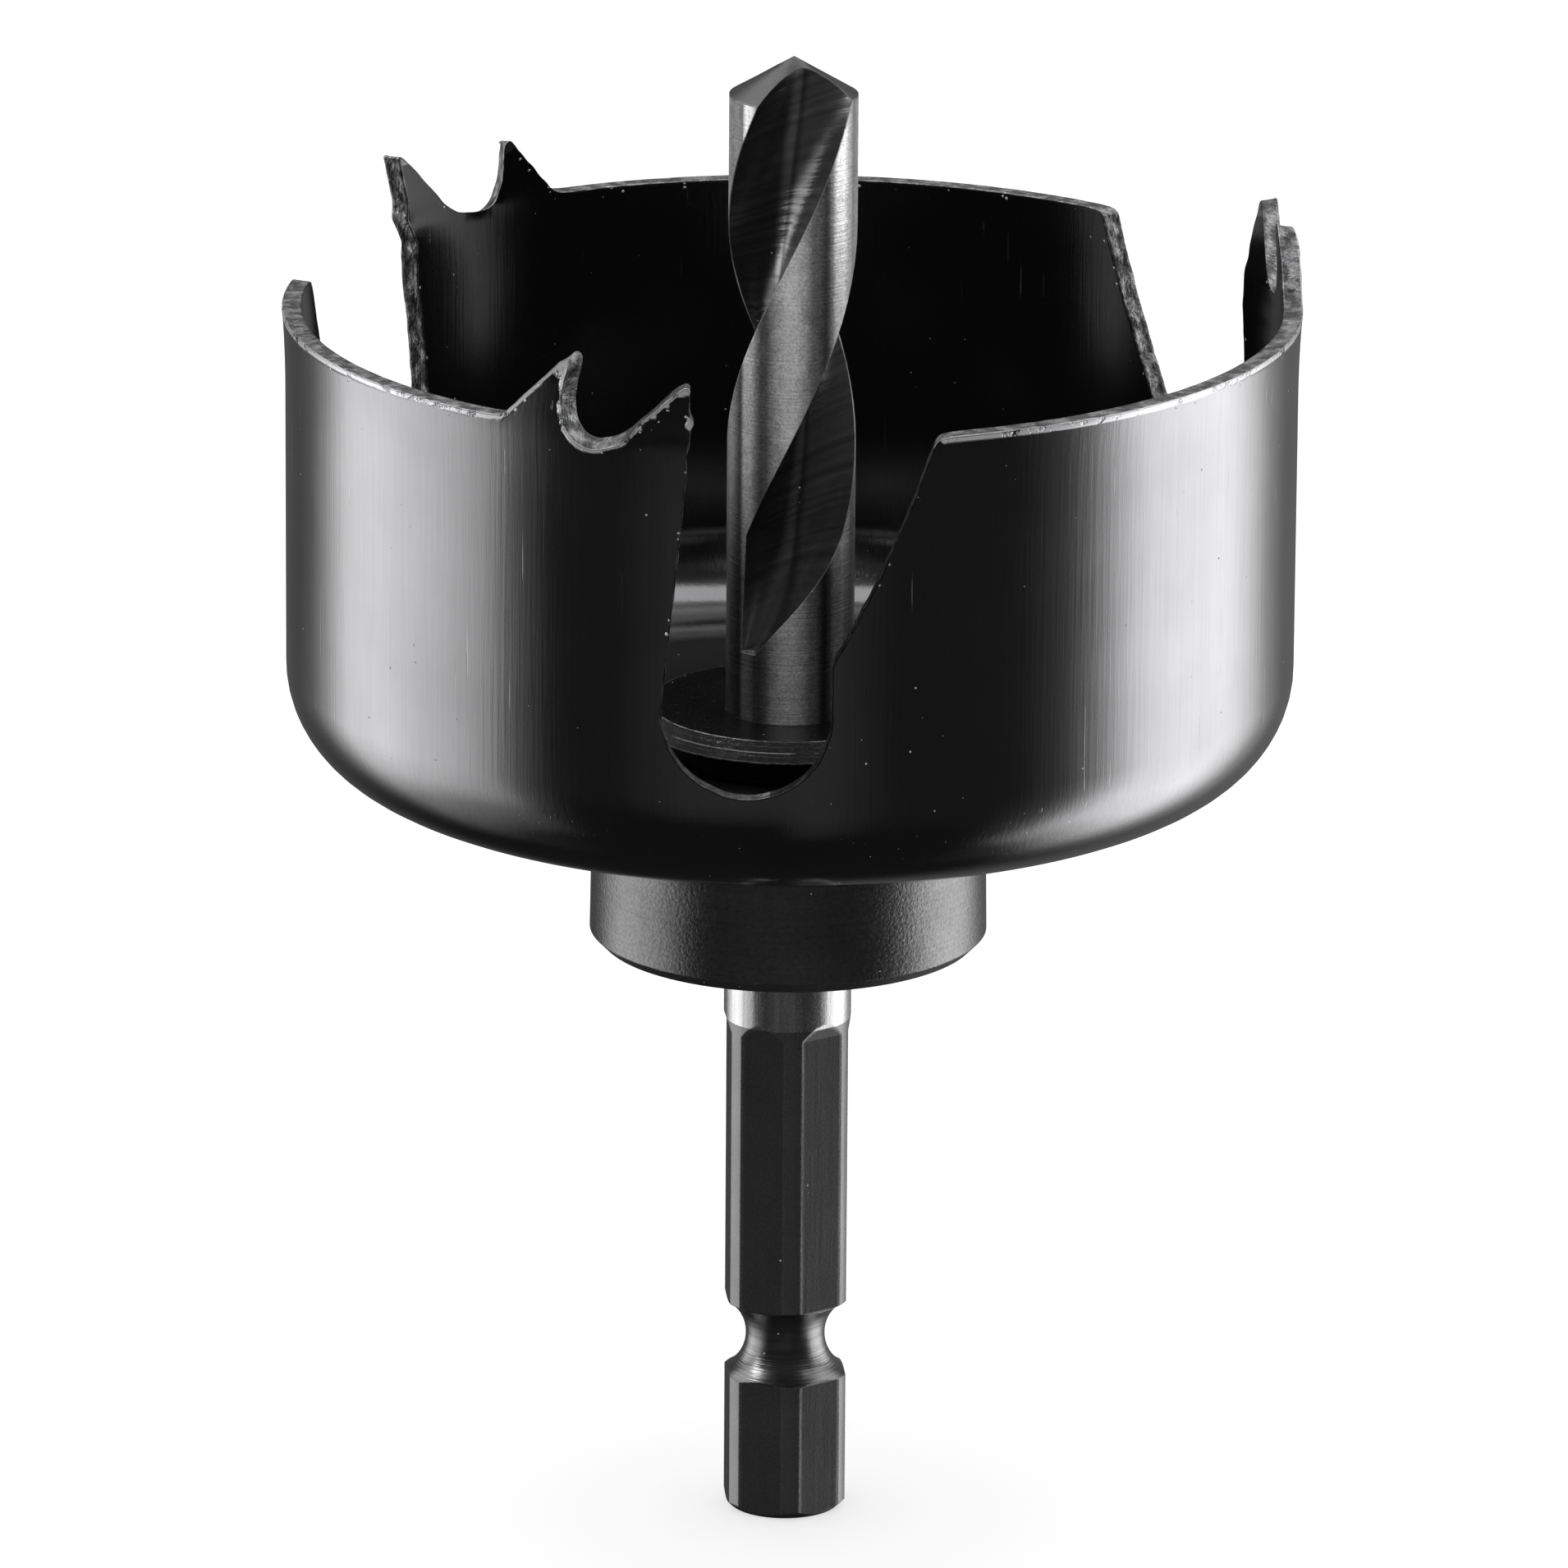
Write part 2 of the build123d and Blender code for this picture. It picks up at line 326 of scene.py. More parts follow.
# round bottom of a slot, then its bowed sloping side up to the rim
def slotCorners(centre, bottomSteps=24, sideSteps=8):
    corners = []
    foot = cup["rim"] - cup["slotDepth"] + cup["slotRadius"]
    for part in range(bottomSteps + 1):
        turn = math.pi * part / bottomSteps
        across = cup["slotOffset"] - cup["slotRadius"] * math.cos(turn)
        height = foot - cup["slotRadius"] * math.sin(turn)
        corners.append((centre + slotAngleOf(across) / degreesPerMm, height, "slot"))
    low = (cup["slotOffset"] + cup["slotRadius"], -cup["slotThroat"])
    high = (cup["slotTrailing"], 0.0)
    length = math.dist(low, high)
    for part in range(sideSteps + 1):
        share = part / sideSteps
        bow = cup["slotBow"] * 4 * share * (1 - share)
        across = low[0] + (high[0] - low[0]) * share + bow * (high[1] - low[1]) / length
        height = low[1] + (high[1] - low[1]) * share - bow * (high[0] - low[0]) / length
        kind = "rim" if part == sideSteps else "slot"
        corners.append((centre + slotAngleOf(across) / degreesPerMm, cup["rim"] + height, kind))
    return corners


# the wall's upper edge laid flat from seam to seam: points (mm round, height) and their kinds
def sheetOutline():
    rim = cup["rim"]
    corners = [(cup["seam"] / degreesPerMm, rim, "rim")]
    for angle, gulletShare, extra in zip(cup["slotAngles"], cup["gulletShares"], cup["leadExtra"]):
        lead = (angle + slotAngleOf(cup["slotLeading"])) / degreesPerMm
        corners += toothCorners(lead, gulletShare, extra)
        corners += slotCorners(angle / degreesPerMm)
    corners.append(((cup["seam"] + 360) / degreesPerMm, rim, "rim"))
    points, kinds = [], []
    for (x0, y0, kind), (x1, y1, _) in zip(corners, corners[1:]):
        step = cup["step"] * (3 if kind == "rim" else 1)
        count = max(1, round(math.dist((x0, y0), (x1, y1)) / step))
        for part in range(count):
            points.append((x0 + (x1 - x0) * part / count, y0 + (y1 - y0) * part / count))
            kinds.append(kind)
    points.append(corners[-1][:2])
    kinds.append("rim")
    points = np.array(points)
    for _ in range(5):  # sharp corners are rounded a little
        points[1:-1] = points[1:-1] * 0.5 + (points[:-2] + points[2:]) * 0.25
    return points, kinds


# how far the wall leans out at a distance behind a slot's leading side
def leanAt(back, secondSets):
    swap = smooth((back - cup["setSwap"][0]) / cup["setSwap"][1])
    lean = cup["leadSet"] * (1 - swap) - secondSets * swap
    return lean * smooth((cup["setEnd"][0] - back) / cup["setEnd"][1]) * (back > -1.0)


# a point of the flat sheet, put on the cup's outer or inner face, in millimetres
def onSheet(around, height, inner):
    angles = around * degreesPerMm
    slots = np.array(cup["slotAngles"])
    which = np.abs(angles[:, None] - slots[None, :]).argmin(1)
    off = angles - slots[which]
    secondSets = np.array(cup["secondSets"])[which]
    straight = smooth((off - cup["squareFrom"][0]) / cup["squareFrom"][1])
    straight = straight * smooth((cup["squareTo"][0] - off) / cup["squareTo"][1])
    if inner:
        outer = cup["radius"] * np.sin(np.radians(off)) / (cup["radius"] - cup["sheet"])
        angles = angles + straight * (np.degrees(np.arcsin(np.clip(outer, -1, 1))) - off)
    back = (slotAngleOf(cup["slotLeading"]) - off) / degreesPerMm
    over = height - cup["rim"]
    bend = (over + cup["bendBelow"]) / (cup["toothHeight"] + cup["bendBelow"])
    bend = np.clip(bend, 0, None) ** cup["setCurve"]
    flare = cup["flare"] * np.clip((over + cup["flareHeight"]) / cup["flareHeight"], 0, 1) ** 2
    wall = cup["radius"] + flare + leanAt(back, secondSets) * bend
    tipAway = np.hypot(back - cup["secondTip"], over - cup["toothHeight"])
    shaved = cup["facet"] * np.clip(1 - tipAway / cup["facetReach"], 0, 1)
    # below the wall the sheet turns round the corner and runs in to the bore
    corner = cup["cornerRadius"]
    flatStart = cup["cornerTop"] - corner * math.pi / 2
    bent = np.clip((cup["cornerTop"] - height) / corner, 0, math.pi / 2)
    own = corner - (cup["sheet"] if inner else 0.0)
    lowRadius = cup["radius"] - corner + own * np.cos(bent) - np.clip(flatStart - height, 0, None)
    onWall = height >= cup["cornerTop"]
    radius = np.where(onWall, wall - (cup["sheet"] if inner else shaved), lowRadius)
    z = np.where(onWall, height, cup["cornerTop"] - own * np.sin(bent))
    turn = np.radians(angles)
    return np.stack([radius * np.sin(turn), -radius * np.cos(turn), z], -1)


def sheetNormal(around, height, inner, step=0.02):
    alongRound = onSheet(around + step, height, inner) - onSheet(around - step, height, inner)
    alongHeight = onSheet(around, height + step, inner) - onSheet(around, height - step, inner)
    normal = np.cross(alongRound, alongHeight) * (-1 if inner else 1)
    return normal / np.linalg.norm(normal, axis=1, keepdims=True)


def insideLoop(points, loop):
    inside = np.zeros(len(points), bool)
    for (x0, y0), (x1, y1) in zip(loop, np.roll(loop, -1, 0)):
        if y0 == y1:
            continue
        crosses = (points[:, 1] >= min(y0, y1)) & (points[:, 1] < max(y0, y1))
        inside ^= crosses & (points[:, 0] < x0 + (points[:, 1] - y0) * (x1 - x0) / (y1 - y0))
    return inside


# the outline roughened along its run, then once more for each row across the thickness
def roughEdge(edge, kinds, fadeOver=3.0):
    start, end = edge[0, 0], edge[-1, 0]
    run = np.gradient(edge, axis=0)
    run /= np.linalg.norm(run, axis=1, keepdims=True)
    intoSheet = np.stack([run[:, 1], -run[:, 0]], -1)
    intoSheet[0] = intoSheet[-1] = (0.0, -1.0)
    fade = smooth(np.minimum(edge[:, 0] - start, end - edge[:, 0]) / fadeOver)  # even at the seam
    broad, fine = cup["wanderScales"]
    wander = [ripple(x, y, broad, 3.0) + 0.5 * ripple(x, y, fine, 9.0) for x, y in edge]
    shift = np.array([cup["wanderOf"][kind] for kind in kinds]) * fade * np.array(wander)
    knob = np.zeros(len(edge))
    for slot, over, out, size in cup["knobs"]:
        atX = (slot + slotAngleOf(cup["slotLeading"])) / degreesPerMm
        atY = cup["rim"] + over
        near = np.exp(-((edge[:, 0] - atX) ** 2 + (edge[:, 1] - atY) ** 2) / size ** 2)
        shift -= out * near
        knob = np.maximum(knob, near * (out > 0))
    edge = edge + intoSheet * shift[:, None]
    # the gullets are ground deeper on the outer face
    rake = [cup["rake"] if kind == "gullet" else 0.0 for kind in kinds]
    rake = np.convolve(rake, np.ones(9) / 9, "same")
    pitted = np.array([cup["pittedOf"][kind] for kind in kinds])
    broad, fine = cup["pitScales"]
    tops = []
    for share, back, pitShare in cup["acrossEdge"]:
        pits = [0.5 + 0.6 * ripple(x, y, broad, share * 2.2)
                + 0.4 * ripple(x, y, fine, share * 5.0) for x, y in edge]
        slant = rake * (1 - share) if share > 0 else 0.0
        depth = back + slant + pitShare * pitted * fade * np.array(pits)
        tops.append(edge + intoSheet * depth[:, None])
    return tops, intoSheet, rake, knob


# flat triangles of the wall between its upper edge and the lowest row
def wallTriangles(top, columns):
    start, end = columns[0], columns[-1]
    rowCount = round((cup["rim"] - cup["lowRow"]) / cup["row"])
    rows = cup["lowRow"] + (top[0, 1] - cup["lowRow"]) * np.arange(rowCount + 1) / rowCount
    low = [(x, rows[0]) for x in columns]
    right = [(end, y) for y in rows[1:-1]]
    left = [(start, y) for y in rows[-2:0:-1]]
    loop = np.array(low + right + [tuple(point) for point in top[::-1]] + left)
    heights = np.arange(rows[1], cup["rim"] + cup["toothHeight"], cup["row"] * 0.9)
    grid = np.array([(x, y) for x in columns[1:-1] for y in heights])
    grid = grid[insideLoop(grid, loop)]
    tree = kdtree.KDTree(len(loop))
    for index, point in enumerate(loop):
        tree.insert((point[0], point[1], 0), index)
    tree.balance()
    clear = [tuple(point) for point in grid
             if tree.find((point[0], point[1], 0))[2] > cup["edgeClear"]]
    flat = [Vector(point) for point in [tuple(point) for point in loop] + clear]
    border = [(index, (index + 1) % len(loop)) for index in range(len(loop))]
    outPoints, _, outFaces, sources, _, _ = geometry.delaunay_2d_cdt(flat, border, [], 1, 1e-6)
    return outPoints, outFaces, sources, tree, len(low), len(right), len(loop)


# the two ends of the flat sheet meet at the seam and share their points
def joinSeam(outPoints, sources, lowCount, sideCount, loopCount, edgeCount):
    partner = {lowCount - 1: 0}
    for index in range(sideCount):
        partner[lowCount + index] = loopCount - 1 - index
    topEnd = lowCount + sideCount + edgeCount - 1
    partner[lowCount + sideCount] = topEnd
    spots, numberOf, ownNumber = [], {}, [0] * len(outPoints)
    for index, found in enumerate(sources):
        if found and found[0] in partner:
            continue
        ownNumber[index] = len(spots)
        if found:
            numberOf[found[0]] = len(spots)
        spots.append((outPoints[index][0], outPoints[index][1]))
    for index, found in enumerate(sources):
        if found and found[0] in partner:
            numberOf[found[0]] = ownNumber[index] = numberOf[partner[found[0]]]
    return np.array(spots), numberOf, ownNumber, topEnd


def sheetMesh(points, normals, faces, cutShare, burr):
    mesh = bpy.data.meshes.new("sawCup")
    mesh.from_pydata([tuple(point) for point in points / 1000.0], [], faces)
    mesh.validate()
    mesh.polygons.foreach_set("use_smooth", [True] * len(mesh.polygons))
    mesh.update()
    own = np.zeros(len(mesh.vertices) * 3)
    mesh.vertices.foreach_get("normal", own)
    own = own.reshape(-1, 3)
    given = np.linalg.norm(normals, axis=1) > 0.5  # cut edges keep the mesh's own normals
    own[given] = normals[given]
    mesh.normals_split_custom_set_from_vertices([tuple(normal) for normal in own])
    for name, values in (("cutEdge", cutShare), ("burr", burr)):
        attribute = mesh.attributes.new(name, "FLOAT", "POINT")
        attribute.data.foreach_set("value", values.astype(np.float32))
    return mesh


def makeCup():
    edge, kinds = sheetOutline()
    start, end = edge[0, 0], edge[-1, 0]
    steps = len(edge) - 1
    tops, intoSheet, rake, knob = roughEdge(edge, kinds)
    columns = start + (end - start) * np.arange(cup["columns"] + 1) / cup["columns"]
    outPoints, outFaces, sources, tree, *counts = wallTriangles(tops[0], columns)
    spots, numberOf, ownNumber, topEnd = joinSeam(outPoints, sources, *counts, len(edge))
    lowCount, _, loopCount = counts
    count = len(spots)

    # the outer face is moved down round the slanted gullets
    loopShift = np.zeros((loopCount, 2))
    for index in range(len(edge)):
        loopShift[topEnd - index] = intoSheet[index] * rake[index]
    outerSpots = spots.copy()
    for number, (x, y) in enumerate(spots):
        found = tree.find((x, y, 0))
        outerSpots[number] += loopShift[found[1]] * math.exp(-(found[2] / cup["rakeReach"]) ** 2)
    points, normals = [], []
    for faceSpots, inner in ((outerSpots, False), (spots, True)):
        points.append(onSheet(faceSpots[:, 0], faceSpots[:, 1], inner))
        normals.append(sheetNormal(faceSpots[:, 0], faceSpots[:, 1], inner))
    faces = []
    for face in outFaces:
        one, two, three = (outPoints[i] for i in face)
        if (two - one).cross(three - one) < 0:
            face = face[::-1]
        face = [ownNumber[i] for i in face]
        if len(set(face)) == 3:
            faces.append(face)
            faces.append([number + count for number in face[::-1]])
    total = 2 * count
    cutShare = [np.zeros(total)]
    burr = np.zeros(total)

    # a burred lip stands out a little along every cut edge
    topRow = [numberOf[topEnd - index] for index in range(len(edge))]
    for index, number in enumerate(topRow[:-1]):
        ripples = bumps.noise(Vector(points[0][number] * cup["lipScale"]))
        lip = max(0.0, ripples + cup["lipLeast"]) * cup["lip"]
        points[0][number] += normals[0][number] * lip
        burr[number] = cup["burrOf"][kinds[index]] + knob[index]
        burr[number + count] = cup["innerBurr"]

    # cut edges across the sheet
    lines = [topRow]
    for (share, _, _), top in list(zip(cup["acrossEdge"], tops))[1:-1]:
        outerPart = onSheet(top[:-1, 0], top[:-1, 1], False)
        innerPart = onSheet(top[:-1, 0], top[:-1, 1], True)
        points.append(outerPart + (innerPart - outerPart) * share)
        normals.append(np.zeros((steps, 3)))
        cutShare.append(np.ones(steps))
        lines.append([total + i for i in range(steps)] + [total])
        total += steps
    lines.append([number + count for number in topRow])
    for upper, lower in zip(lines, lines[1:]):
        for i in range(steps):
            faces.append([upper[i], upper[i + 1], lower[i + 1], lower[i]])

    # corner and floor, down to the bore
    flatStart = cup["cornerTop"] - cup["cornerRadius"] * math.pi / 2
    boreAt = flatStart - (cup["radius"] - cup["cornerRadius"] - cup["bore"])
    lowRows = list(np.linspace(cup["lowRow"], flatStart, cup["cornerRows"])[1:])
    lowRows += list(np.linspace(flatStart, boreAt, cup["floorRows"])[1:])
    around = columns[:-1]
    lastRows = []
    for firstNumber, inner in ((0, False), (count, True)):
        upper = [numberOf[index] + firstNumber for index in range(lowCount)]
        for height in lowRows:
            heights = np.full(len(around), height)
            points.append(onSheet(around, heights, inner))
            normals.append(sheetNormal(around, heights, inner))
            cutShare.append(np.zeros(len(around)))
            lower = [total + i for i in range(len(around))] + [total]
            total += len(around)
            for i in range(len(around)):
                quad = [lower[i], lower[i + 1], upper[i + 1], upper[i]]
                faces.append(quad[::-1] if inner else quad)
            upper = lower
        lastRows.append(upper)
    for i in range(cup["columns"]):
        faces.append([lastRows[1][i], lastRows[1][i + 1], lastRows[0][i + 1], lastRows[0][i]])

    points = np.concatenate(points)
    burr = np.concatenate([burr, np.zeros(len(points) - len(burr))])
    burr[2 * count:2 * count + steps] = burr[topRow[:-1]]
    mesh = sheetMesh(points, np.concatenate(normals), faces, np.concatenate(cutShare), burr)
    piece = bpy.data.objects.new("sawCup", mesh)
    bpy.context.scene.collection.objects.link(piece)
    mesh.materials.append(makeCupFinish())
    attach(piece, "root")
    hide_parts("saw_cup")
    print("saw cup done:", len(mesh.vertices), "points", len(mesh.polygons), "faces")


def makeCupFinish():
    material, tree, shader = newFinish("bluedSheet")
    position, x, y, z, radius = places(tree)
    normal = wire(tree, "ShaderNodeNewGeometry").outputs["Normal"]
    radial = vecCalc(tree, "NORMALIZE", joined(tree, x, y, 0.0))
    cut = wire(tree, "ShaderNodeAttribute", attribute_name="cutEdge").outputs["Fac"]
    burr = wire(tree, "ShaderNodeAttribute", attribute_name="burr").outputs["Fac"]

    streaks = streaked(tree, position, cup["streaks"])
    fineStreaks = streaked(tree, position, cup["fineStreaks"])
    scratches = between(tree, streaked(tree, position, cup["scratches"]), *cup["scratchRange"])
    clouds = noise(tree, position, cup["clouds"])
    grain = noise(tree, position, cup["grain"])
    pits = noise(tree, position, cup["pits"])
    # file marks cross the sheet at its cut edges
    around = times(tree, calc(tree, "ARCTAN2", y, x), cup["radius"])
    inward = times(tree, radius, cup["markDepth"])
    marks = noise(tree, joined(tree, around, inward, 0.0), cup["marks"])

    outward = vecCalc(tree, "DOT_PRODUCT", radial, normal, out=1)
    shadedInnerWall = times(tree, between(tree, outward, *cup["inwardRange"]),
                       between(tree, z, *cup["innerFrom"]))
    facing = parted(tree, normal)[2]
    floorInside = times(tree, between(tree, facing, *cup["floorFacing"]),
                        between(tree, radius, *cup["floorReach"]), below(tree, z, cup["lowRow"]))
    cornerAhead = times(tree, between(tree, facing, *cup["aheadFacing"]),
                        between(tree, y, *cup["aheadReach"]), below(tree, z, cup["cornerTop"]))
    shadedBottom = largest(tree, floorInside, cornerAhead)

    # the inner wall is painted near black as shade inside the cup
    tone = blend(tree, shadedInnerWall, cup["steel"], cup["innerShadeTone"])
    # the floor and the corner ahead are painted darker as shade
    tone = dimmed(tree, tone, shadedBottom, cup["floorShadeDim"])
    tone = vary(tree, tone, clouds, cup["cloudShare"])
    tone = vary(tree, tone, streaks, cup["streakShare"])
    tone = calc(tree, "MULTIPLY_ADD", scratches, cup["scratchTone"], tone)
    cutTone = blend(tree, between(tree, pits, *cup["pitRange"]), cup["cutDark"], cup["cutBright"])
    cutTone = vary(tree, cutTone, marks, cup["markShare"])
    cutTone = vary(tree, cutTone, grain, cup["grainShare"])
    # cut faces at and above the rim are painted lighter, as lit from above
    rimFrom, rimTo = (cup["rim"] - depth for depth in cup["rimLightBand"])
    rimLight = between(tree, z, rimFrom, rimTo, 1.0, cup["rimLightShare"])
    # darker at the sloping side of the front slot
    slotSideDark = times(tree, below(tree, y, cup["slotSideAhead"]),
                 below(tree, z, cup["rim"] - cup["slotSideBelow"]),
                 above(tree, x, cup["slotSideLeft"]), below(tree, x, cup["slotSideRight"]))
    cutTone = dimmed(tree, times(tree, cutTone, rimLight), slotSideDark, cup["slotSideDim"])
    cutTone = largest(tree, cutTone, cup["cutLeast"])
    tone = blend(tree, between(tree, cut, *cup["cutRange"]), tone, cutTone)
    # bare metal where a burred edge is worn or chipped
    patches = between(tree, noise(tree, position, cup["chipNoise"]), *cup["chipRange"])
    dots = specks(tree, position, cup["edgeDots"])
    chips = largest(tree, times(tree, between(tree, burr, *cup["chippedBurr"]), patches),
                    between(tree, burr, *cup["bareBurr"]),
                    times(tree, between(tree, burr, *cup["dottedBurr"]), dots))
    tone = blend(tree, chips, tone, cup["wornSteel"])
    dust = largest(tree, specks(tree, position, cup["dust"]),
                   specks(tree, position, cup["fineDust"]))
    tone = blend(tree, dust, tone, cup["dustTone"])

    metal = blend(tree, shadedInnerWall, 1.0, cup["innerMetal"])
    metal = blend(tree, chips, metal, cup["wornMetal"])
    metal = blend(tree, dust, metal, 0.0)
    rough = blend(tree, shadedInnerWall, cup["gloss"], cup["innerGloss"])
    rough = drift(tree, rough, fineStreaks, cup["streakGloss"])
    rough = drift(tree, rough, clouds, cup["cloudGloss"])
    for mask, gloss in ((shadedBottom, "floorGloss"), (cut, "cutGloss"),
                        (chips, "wornGloss"), (dust, "dustGloss")):
        rough = blend(tree, mask, rough, cup[gloss])

    relief = plus(tree, times(tree, streaks, cup["streakRelief"]),
                  times(tree, grain, cup["grainRelief"]),
                  times(tree, scratches, cup["scratchRelief"]))
    cutRelief = plus(tree, times(tree, pits, cup["pitRelief"]),
                     times(tree, marks, cup["markRelief"]))
    relief = plus(tree, blend(tree, cut, relief, cutRelief),
                  times(tree, chips, cup["chipRelief"]), times(tree, dust, cup["dustRelief"]))
    plugIn(tree, shader, tone, metal, rough, relief, blueShare=cup["blueShare"])
    return material


# hub and clamp disc: turned steel with a dull black finish, the side beyond sideFrom
boss = {
    "steel": 0.15, "sideSteel": 0.15, "sideFrom": 0.0, "gloss": 0.19,
    "bareEdge": 0.65, "edgeRadius": 0.10, "edgeShare": 0.46,
    "sheenLines": 0.0, "pepper": 1.1, "pepperDepth": 0.03,
}
disc = {
    # the disc's top face is painted darker than its side, as shade inside the cup
    "steel": 0.035, "sideSteel": 0.15, "sideFrom": 7.45, "gloss": 0.24,
    "bareEdge": 0.9, "edgeRadius": 0.09, "edgeShare": 0.42,
    "sheenLines": 0.65, "pepper": 0.9, "pepperDepth": 0.03,
}
# what both share: patterns, dots, and how much they change the finish
turning = {
    "lines": (7.0, 3.0, 0.6), "lineShare": 0.5, "lineRelief": 0.005,
    "pepper": (5.0, 3.0, 0.65), "pepperGloss": 0.2,
    "clouds": (0.3, 2.0, 0.5), "cloudShare": 0.5,
    "dark": (2.4, 0.10, 0.4, 11.0), "darkDim": 0.6,
    "dust": (1.6, 0.07, 0.16, 47.0), "dustTone": 0.6, "dustGloss": 0.8,
    "edgeNoise": (1.1, 3.0, 0.6), "edgeRange": (0.05, 0.25), "edgeSoft": 0.1,
    "sheenRange": (0.58, 0.66), "sheenNoise": (0.5, 2.0, 0.5), "sheenPatches": (0.42, 0.56),
    "metal": 0.9, "sheenMetal": 0.5,
}


def makeTurnedFinish(name, sizes):
    material, tree, shader = newFinish(name)
    position, _, _, z, radius = places(tree)
    rounded, apart = softEdge(tree, sizes["edgeRadius"])
    lines = turned(tree, radius, z, turning["lines"])
    pepper = noise(tree, position, turning["pepper"])
    clouds = noise(tree, position, turning["clouds"])
    dark = specks(tree, position, turning["dark"])
    dust = specks(tree, position, turning["dust"])
    side = above(tree, radius, sizes["sideFrom"])

    tone = blend(tree, side, sizes["steel"], sizes["sideSteel"])
    tone = vary(tree, tone, pepper, sizes["pepper"])
    tone = vary(tree, tone, lines, turning["lineShare"])
    tone = vary(tree, tone, clouds, turning["cloudShare"])
    tone = dimmed(tree, tone, dark, turning["darkDim"])
    edgeNoise = noise(tree, position, turning["edgeNoise"])
    patchy = between(tree, edgeNoise, sizes["edgeShare"], sizes["edgeShare"] + turning["edgeSoft"])
    worn = times(tree, between(tree, apart, *turning["edgeRange"]), patchy)
    # painted sheen: bright lines of highlight along the turning tool's marks on the side
    sheenNoise = noise(tree, position, turning["sheenNoise"])
    paintedSheen = times(tree, between(tree, lines, *turning["sheenRange"]), side, sizes["sheenLines"],
                  between(tree, sheenNoise, *turning["sheenPatches"]))
    # from here on worn holds edge wear and the painted sheen
    worn = largest(tree, worn, paintedSheen)
    tone = blend(tree, worn, tone, sizes["bareEdge"])
    tone = blend(tree, dust, tone, turning["dustTone"])

    metal = calc(tree, "MULTIPLY_ADD", worn, -sizes["sheenLines"] * turning["sheenMetal"],
                 turning["metal"])
    rough = drift(tree, sizes["gloss"], pepper, turning["pepperGloss"])
    relief = plus(tree, times(tree, lines, turning["lineRelief"]),
                  times(tree, pepper, sizes["pepperDepth"]))
    plugIn(tree, shader, tone, blend(tree, dust, metal, 0.0),
           blend(tree, dust, rough, turning["dustGloss"]), relief, rounded)
    return material


# rod: ground drill, bright neck, black hex, turned groove; heights in millimetres
rod = {
    "rodRadius": 3.45, "tipHeight": 81.5, "pointAngle": 118.0, "shoulder": 79.43,
    "drillFrom": 43.0, "hexTop": 28.0, "grooveHeight": 9.75, "grooveReach": 2.1,
    "flutePitch": 45.0, "fluteTurn": 15.3, "edgeRadius": 0.09,
    # how far under the rod's radius flats and flutes start, how near the cone the point is
    "cutDepths": (0.03, 0.09), "pointReach": 0.06,
    # tones
    "landSteel": 0.95, "fluteSteel": 0.17, "pointSteel": 0.12, "neckSteel": 0.50,
    "hexSteel": 0.055, "cornerSteel": 0.16, "grooveSteel": 0.20,
    "wornSteel": 0.6, "wornShare": 0.7, "dustTone": 0.7,
    # painted reflection and shade across a flute: degrees round from its middle, share of its tone
    "fluteReflectionBands": ((-90, 0.45), (-32, 0.45), (-12, 1.5), (6, 1.5), (16, 0.6), (24, 0.7),
                   (33, 1.15), (90, 1.0)),
    # painted reflection bands along the lands: degrees round from the front, share of the land's
    # tone
    "landReflectionBands": ((-180, 0.30), (-160, 0.9), (-141, 0.15), (-124, 0.8), (-100, 0.12),
                  (-84, 0.6), (-66, 0.25), (-52, 0.12), (-47, 1.0), (-40, 1.0), (-34, 0.42),
                  (-29, 0.15), (-23, 0.17), (-15, 0.6), (-10, 0.78), (-5, 1.0), (3, 1.0),
                  (13, 0.55), (18, 0.27), (31, 0.07), (34, 0.12), (38, 0.35), (43, 1.0),
                  (52, 1.0), (58, 0.45), (68, 0.15), (84, 0.6), (104, 0.95), (120, 0.15),
                  (143, 0.85), (163, 0.3), (180, 0.30)),
    # deep in the cup the painted bands fade into painted shade, more so at the sides
    "shadeHeights": (52.0, 62.0), "sideFrom": (22.0, 34.0), "shadeMiddle": 0.75, "shadeSide": 0.18,
    # patterns, and how much they change the tone
    "pepper": (7.0, 3.0, 0.7), "pepperShare": 0.5, "landPepper": 1.4, "pepperGloss": 0.15,
    "mottle": (1.6, 4.0, 0.65), "mottleShare": 0.9,
    "clouds": (0.35, 2.0, 0.5), "cloudShare": 0.4,
    "upright": (3.2, 0.12, 3.0, 0.55), "uprightShare": 1.2,
    "around": (8.0, 3.0, 0.6), "aroundShare": 1.2,
    # grinding ridges run across the flute, square to its helix
    "ridges": (2.6, 2.0, 0.5), "ridgeDirection": (-0.35, 0.0, 0.94), "ridgeShare": 2.0,
    "patches": (1.2, 3.0, 0.6), "patchRange": (0.46, 0.60), "wornRange": (0.04, 0.22),
    "dust": (1.3, 0.07, 0.14, 5.0),
    # metal and roughness
    "neckMetal": 0.95, "landMetal": 0.45, "cornerMetal": 0.85, "hexMetal": 0.55,
    "grooveMetal": 0.95, "fluteMetal": 0.85, "specular": 0.2,
    "neckGloss": 0.26, "landGloss": 0.33, "hexGloss": 0.27, "grooveGloss": 0.22,
    "fluteGloss": 0.22, "dustGloss": 0.8,
    # relief: of the neck and the hex, the lands, the groove, the flutes
    "fineRelief": 0.010, "landRelief": 0.035, "landPepperRelief": 0.015,
    "grooveRelief": 0.03, "ridgeRelief": 0.05, "flutePepperRelief": 0.008,
}


